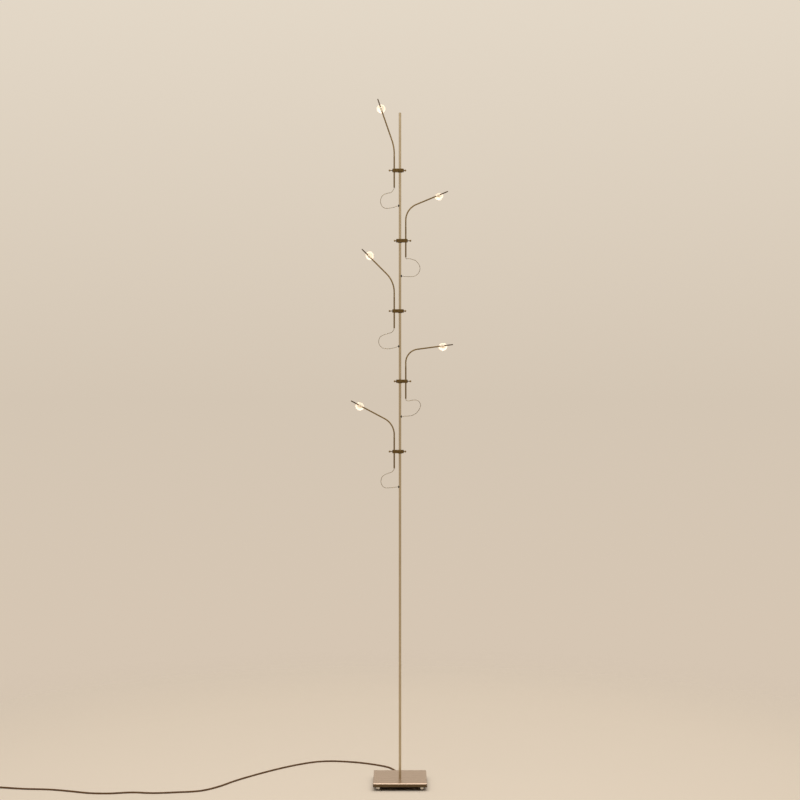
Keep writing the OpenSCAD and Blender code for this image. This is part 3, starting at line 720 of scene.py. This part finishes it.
def arm_reach(i):
    """Distance along arm i from the start of its bend to the middle of its lamp head."""
    angle, radius, _ = bend_of(i)
    return radius * angle + (place_of(f"head_{i}_turn") - arm_at(i, radius * angle)).length


def arm_line(i, first, last, step):
    """Points on arm i's middle line between two distances along it, no more than a step apart."""
    count = math.ceil((last - first) / step)
    return [arm_at(i, first + (last - first) * k / count) for k in range(count + 1)]


def bend_with_arm(made):
    """Bakes a piece in or on an arm into its place; the piece is not made to bend with the arm."""
    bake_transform(made)


def make_neck(i):
    """Neck of closely wound round wire."""
    low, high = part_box(f"arm_tube_{i}")
    outer = (high.y - low.y) / 2

    def wound(along, a):
        x = 2 * ((along / NECK_PITCH - a / TAU) % 1) - 1
        return outer - NECK_PITCH / 2 * (1 - math.sqrt(1 - (NECK_ROUND * x) ** 2))

    first = high.z + NECK_GAP - bend_of(i)[2].z
    path = arm_line(i, first, arm_reach(i) - SOCKET_DEPTH, NECK_PITCH / NECK_RINGS)
    neck = piece(f"neck_{i}_wound", *sweep(path, wound, 12), [DARK_NICKEL], "dark_nickel")
    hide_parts(f"arm_neck_{i}")
    bend_with_arm(neck)


# Lamp heads

HEAD_TURN = (0, 38, -30, 32, 32)  # degrees that each light is turned down from level
# Across the arm, from its middle line back and on to the front
HOLDER_R, HOLDER_BACK, HOLDER_FRONT = 4 * MM, 4.2 * MM, 6.2 * MM
HOLDER_EDGE = 0.2 * MM
LENS_R, LENS_BACK, LENS_RIM, LENS_DOME = 14 * MM, 4.2 * MM, 4 * MM, 8 * MM
LENS_SEAT = 2 * MM  # depth of the pocket that the holder sits in
LENS_PLAY = 0.03 * MM  # round the holder
LENS_MOUTH, LENS_MOUTH_DEPTH = 0.25 * MM, 0.2 * MM  # how much wider the pocket's mouth is
LENS_CHAMFER = 0.6 * MM
LENS_SIDES = 64
CAVE_R, CAVE_DEPTH = 2.7 * MM, 1 * MM  # the hollow round the LED: its dome, and the straight part
LED_R, LED_STEP, LED_GAP = 1.7 * MM, 0.5 * MM, 0.05 * MM
LED_FOOT = 0.7 * MM  # wider than the dome
# Along the arm, from the middle of the head: back to the neck, and on to the grip
COLLAR_R, COLLAR_L, COLLAR_MIDDLE, COLLAR_EDGE = 3.45 * MM, 9 * MM, 3 * MM, 0.3 * MM
COLLAR_GROOVE = 0.25 * MM
NECK_BORE_R, NECK_BORE_EDGE = 2.45 * MM, 0.2 * MM
GRIP_R, GRIP_SEAT, GRIP_REACH = 2 * MM, 4.6 * MM, 33 * MM
GRIP_SEAT_WALL, GRIP_SEAT_EDGE = 0.5 * MM, 0.2 * MM
GRIP_EDGE, GRIP_TAPER = 0.3 * MM, 0.25 * MM
GRIP_TAPER_STEPS = 4
GRIP_TIP = 2 * MM  # left past the taper


def head_place(i):
    """Frame of lamp head i: its middle, +Z on along the arm and +Y the way its light goes."""
    up = Vector(JOINTS[f"head_{i}_turn"]["axis"])
    angle = lean_of(i)
    turn = math.radians(HEAD_TURN[i - 1])
    light = Vector((side(i) * math.sin(turn) * math.cos(angle), math.cos(turn),
                    -math.sin(turn) * math.sin(angle)))
    turned = Matrix((light.cross(up), light, up)).transposed().to_4x4()
    return Matrix.Translation(place_of(f"head_{i}_turn")) @ turned


def arc(radius, middle, start, end, steps):
    """(radius, height) pairs on an arc round (0, middle), between two angles from the axis."""
    angles = [math.radians(start + (end - start) * k / steps) for k in range(steps + 1)]
    return [(max(radius * math.sin(a), 0), middle + radius * math.cos(a)) for a in angles]


def make_lens(i, forward):
    """Domed lens with a ground edge, hollowed round the LED."""
    top = LENS_BACK + LENS_RIM + LENS_DOME
    dome_r = (LENS_R ** 2 + LENS_DOME ** 2) / (2 * LENS_DOME)
    edge = math.degrees(math.asin(LENS_R / dome_r))
    seat = LENS_BACK + LENS_SEAT
    cave = arc(CAVE_R, seat + CAVE_DEPTH, 0, 90, 8)
    pocket_r = HOLDER_R + LENS_PLAY
    profile = [(0, cave[0][1]), *cave[1:], (CAVE_R, seat), (pocket_r, seat),
               (pocket_r, LENS_BACK + LENS_MOUTH_DEPTH), (HOLDER_R + LENS_MOUTH, LENS_BACK),
               (LENS_R - LENS_CHAMFER, LENS_BACK), (LENS_R, LENS_BACK + LENS_CHAMFER),
               (LENS_R, LENS_BACK + LENS_RIM)]
    rim_from = len(profile) - 3
    profile += arc(dome_r, top - dome_r, edge, 0, 20)[1:-1] + [(0, top)]
    points, faces = lathe(profile, forward, LENS_SIDES)
    rim = range(rim_from * LENS_SIDES, (rim_from + 2) * LENS_SIDES)
    lens = piece(f"lens_{i}_glass", points, faces, [LENS, LENS_EDGE], "lens_glass", second=rim)
    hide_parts(f"lens_{i}")
    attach(lens, f"head_{i}")


def make_holder(i, forward):
    """Cup behind the lens, with a stepped back."""
    r, back, front = HOLDER_R, -HOLDER_BACK, HOLDER_FRONT
    profile = [(0, back), (r - 1.3 * MM, back), (r - 0.9 * MM, back + 0.25 * MM),
               (r - 0.5 * MM, back + 0.5 * MM), (r, back + 1.1 * MM),
               (r, front - HOLDER_EDGE), (r - HOLDER_EDGE, front), (0, front)]
    holder = piece(f"holder_{i}", *lathe(profile, forward), [HOLDER], "lit_holder")
    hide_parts(f"led_module_{i}")
    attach(holder, f"head_{i}")


def make_led(i, forward):
    """LED on the holder's front: a round foot and a dome."""
    base = HOLDER_FRONT + LED_GAP
    step = base + LED_STEP
    profile = [(0, base), (LED_R + LED_FOOT, base), (LED_R + LED_FOOT, step)]
    profile += arc(LED_R, step, 90, 0, 8)[:-1] + [(0, step + LED_R)]
    led = piece(f"led_{i}", *lathe(profile, forward, 32), [DOME], "lit_holder")
    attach(led, f"head_{i}")


def make_collar(i, place):
    """Grooved collar round the neck's end, and the seat that the grip is screwed to, both in the lit holder's
    material, so that they glow with painted light though no light is in them.
    """
    r, back, edge = COLLAR_R, -COLLAR_L, COLLAR_EDGE
    groove_r = r - COLLAR_GROOVE
    profile = [(0, -SOCKET_DEPTH), (NECK_BORE_R, -SOCKET_DEPTH), (NECK_BORE_R, back + edge),
               (NECK_BORE_R + NECK_BORE_EDGE, back), (r - edge, back), (r, back + edge),
               (r, -7.4 * MM), (groove_r, -7.2 * MM), (groove_r, -6.8 * MM), (r, -6.6 * MM),
               (r, -COLLAR_MIDDLE), (0, -COLLAR_MIDDLE)]
    seat_r = GRIP_R + GRIP_SEAT_WALL
    seat = [(0, COLLAR_MIDDLE), (seat_r, COLLAR_MIDDLE), (seat_r, GRIP_SEAT - GRIP_SEAT_EDGE),
            (seat_r - GRIP_SEAT_EDGE, GRIP_SEAT), (0, GRIP_SEAT)]
    points, faces, _ = join(lathe(profile, place), lathe(seat, place))
    # Painted glow: the collar has no light in it but takes the holder's emission.
    collar = piece(f"collar_{i}", points, faces, [HOLDER], "lit_holder")
    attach(collar, f"head_{i}")


def make_grip(i, place):
    """Dark tapered grip with a groove near its seat and a round tip."""
    r, base, tip, edge = GRIP_R, GRIP_SEAT, GRIP_REACH, GRIP_EDGE
    taper_from = base + 3.6 * MM
    taper_length = tip - GRIP_TIP - taper_from
    profile = [(0, base), (r - edge, base), (r, base + edge), (r, base + 2.4 * MM),
               (r - edge, base + 2.7 * MM), (r - edge, base + 3.3 * MM), (r, taper_from)]
    for k in range(1, GRIP_TAPER_STEPS + 1):
        share = k / GRIP_TAPER_STEPS
        profile.append((r - GRIP_TAPER * share, taper_from + taper_length * share))
    end_r = r - GRIP_TAPER
    profile += arc(end_r, tip - end_r, 90, 0, 6)[:-1] + [(0, tip)]
    grip = piece(f"grip_{i}", *lathe(profile, place, 32), [GRIP], "grip")
    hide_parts(f"head_grip_{i}")
    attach(grip, f"head_{i}")


# Thumbscrews

THREAD_R, THREAD_PITCH, THREAD_CUT = 1.5 * MM, 0.5 * MM, 0.25 * MM
SCREW_POINT = 0.4 * MM  # chamfer at the thread's end
SCREW_PLAIN = 1 * MM  # least length of the shank without a thread
KNURLS = 24
KNURL_CUT = 0.22 * MM
SCREW_HEAD_L = 5.6 * MM


def make_screw(node, body):
    """Thumbscrew with a cut thread and a barrel head with a knurled band."""
    low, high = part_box(node)
    tip, end = sorted((low.x, high.x), key=abs)
    length, r = abs(end - tip), (high.z - low.z) / 2
    neck = length - SCREW_HEAD_L
    profile = [(0, 0), (THREAD_R - SCREW_POINT, 0)]
    turns = int((neck - SCREW_PLAIN) / THREAD_PITCH)
    for k in range(turns):
        z = SCREW_POINT + k * THREAD_PITCH
        profile += [(THREAD_R, z), (THREAD_R - THREAD_CUT, z + THREAD_PITCH / 2)]
    profile += [(THREAD_R, SCREW_POINT + turns * THREAD_PITCH), (THREAD_R, neck)]
    profile += [(r - 1.1 * MM, neck), (r - 0.5 * MM, neck + 0.25 * MM), (r - 0.25 * MM, neck + 0.9 * MM),
                (r, neck + 1.1 * MM, KNURL_CUT), (r, length - 1.5 * MM, KNURL_CUT),
                (r - 0.25 * MM, length - 1.3 * MM), (r - 0.5 * MM, length - 0.5 * MM), (r - 1.1 * MM, length),
                (1.1 * MM, length), (0.6 * MM, length - 0.35 * MM), (0, length - 0.45 * MM)]
    middle = (low + high) / 2
    place = axis_place((tip, middle.y, middle.z), (end - tip, 0, 0))
    screw = piece(f"{node}_knurled", *lathe(profile, place, 2 * KNURLS), [SCREW_BRONZE], "bronze")
    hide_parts(node)
    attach(screw, body)


# Floor, background and lamps

SOFT_WHITE = colour(255, 250, 242)
FLOOR = colour(243, 228, 209)
FLOOR_FADES_FROM, FLOOR_FADES_TO = 1.2, 2.6
FLOOR_DROP = 0.2 * MM  # under the feet and the lead
# Colour of the background from straight below (0) over the horizon (0.5) to overhead (1)
BACKDROP = ((0.0, colour(196, 181, 162)), (0.42, colour(214, 198, 179)), (0.5, colour(212, 198, 180)),
            (0.75, colour(240, 230, 214)), (1.0, SOFT_WHITE))
OVERHEAD, GATHERED = 1.9, 9  # strength of the soft light from above, and how much it keeps overhead
# Place, what it points at, width, height and watts of each lamp
LAMPS = {
    "overhead": ((0, -0.9, 3.4), (0, -0.2, 0), 1.6, 1.2, 18),
    "key": ((-1.8, -2.0, 3.3), (0, 0, 0.9), 1.8, 1.8, 9),
    "fill": ((2.6, -1.5, 2.8), (0, 0, 0.9), 1.6, 1.8, 4),
    "back": ((1.0, 2.6, 3.0), (0, 0, 1.1), 1.8, 1.8, 6),
}


def make_floor():
    """Pale floor that fades into the background away from the lamp."""
    size = 2 * FLOOR_FADES_TO
    points = [(x * size, y * size, 0) for x, y in ((-1, -1), (1, -1), (1, 1), (-1, 1))]
    paint = Paint("floor", FLOOR, roughness=0.9)
    where = paint.node("ShaderNodeNewGeometry")
    away = paint.node("ShaderNodeVectorMath")
    away.operation = "LENGTH"
    fade = paint.node("ShaderNodeMapRange", **{
        "From Min": FLOOR_FADES_FROM, "From Max": FLOOR_FADES_TO, "To Min": 1, "To Max": 0})
    fade.interpolation_type = "SMOOTHSTEP"
    paint.link(where.outputs["Position"], away.inputs[0])
    paint.link(away.outputs["Value"], fade.inputs["Value"])
    paint.link(fade.outputs["Result"], paint.shader.inputs["Alpha"])
    mesh = bpy.data.meshes.new("floor")
    mesh.from_pydata(points, [], [(0, 1, 2, 3)])
    mesh.materials.append(paint.material)
    floor = bpy.data.objects.new("floor", mesh)
    floor.location.z = -FLOOR_DROP
    bpy.context.scene.collection.objects.link(floor)


def make_world():
    """Soft light from above, and a warm background, paler overhead, that the eye, metal and glass see."""
    world = bpy.data.worlds.new("world")
    bpy.context.scene.world = world
    world.use_nodes = True
    tree = world.node_tree

    def add(kind, operation=None):
        made = tree.nodes.new(kind)
        if operation:
            made.operation = operation
        return made

    where, direction, height = (add(f"ShaderNode{kind}") for kind in ("TexCoord", "SeparateXYZ", "MapRange"))
    height.inputs["From Min"].default_value = -1
    ramp = add("ShaderNodeValToRGB")
    stops = ramp.color_ramp.elements
    for place, _ in BACKDROP[1:-1]:
        stops.new(place)
    for stop, (place, tone) in zip(stops, BACKDROP):
        stop.position, stop.color = place, tone
    seen = add("ShaderNodeBackground")
    seen.inputs["Strength"].default_value = 1
    light = tree.nodes["Background"]
    light.inputs["Color"].default_value = SOFT_WHITE
    gathered, strength = add("ShaderNodeMath", "POWER"), add("ShaderNodeMath", "MULTIPLY")
    gathered.inputs[1].default_value = GATHERED
    strength.inputs[1].default_value = OVERHEAD
    rays, mix = add("ShaderNodeLightPath"), add("ShaderNodeMixShader")
    eye_or_metal, or_glass = (add("ShaderNodeMath", "MAXIMUM") for _ in range(2))
    for out, into in (
            (where.outputs["Generated"], direction.inputs[0]),
            (direction.outputs["Z"], height.inputs["Value"]),
            (height.outputs["Result"], ramp.inputs["Fac"]), (ramp.outputs["Color"], seen.inputs["Color"]),
            (height.outputs["Result"], gathered.inputs[0]), (gathered.outputs[0], strength.inputs[0]),
            (strength.outputs[0], light.inputs["Strength"]),
            (rays.outputs["Is Camera Ray"], eye_or_metal.inputs[0]),
            (rays.outputs["Is Glossy Ray"], eye_or_metal.inputs[1]),
            (eye_or_metal.outputs[0], or_glass.inputs[0]),
            (rays.outputs["Is Transmission Ray"], or_glass.inputs[1]), (or_glass.outputs[0], mix.inputs[0]),
            (light.outputs[0], mix.inputs[1]), (seen.outputs[0], mix.inputs[2]),
            (mix.outputs[0], tree.nodes["World Output"].inputs["Surface"])):
        tree.links.new(out, into)


def make_lamp(name, at, aim, width, height, watts):
    """Soft rectangular lamp that points at a place."""
    data = bpy.data.lights.new(name, "AREA")
    data.shape = "RECTANGLE"
    data.size, data.size_y, data.energy = width, height, watts
    lamp = bpy.data.objects.new(name, data)
    lamp.location = at
    lamp.rotation_euler = (Vector(aim) - Vector(at)).to_track_quat("-Z", "Y").to_euler()
    bpy.context.scene.collection.objects.link(lamp)


def make_stage():
    """Floor, background and lamps, shown by plain view settings."""
    make_floor()
    make_world()
    for name, (at, aim, width, height, watts) in LAMPS.items():
        make_lamp(name, at, aim, width, height, watts)
    bpy.context.scene.view_settings.view_transform = "Standard"


def make_light(i):
    """The pieces of light i that its own nodes don't show as they are."""
    place = head_place(i)
    forward = place @ Matrix.Rotation(math.radians(-90), 4, "X")
    make_wire(i)
    make_neck(i)
    make_lens(i, forward)
    make_holder(i, forward)
    make_led(i, forward)
    make_collar(i, place)
    make_grip(i, place)
    make_screw(f"pole_screw_{i}", f"pole_screw_{i}")
    make_screw(f"arm_screw_{i}", f"arm_screw_{i}")


make_camera()
make_lead()
finish_nodes()
for light in LIGHTS:
    make_light(light)
make_stage()
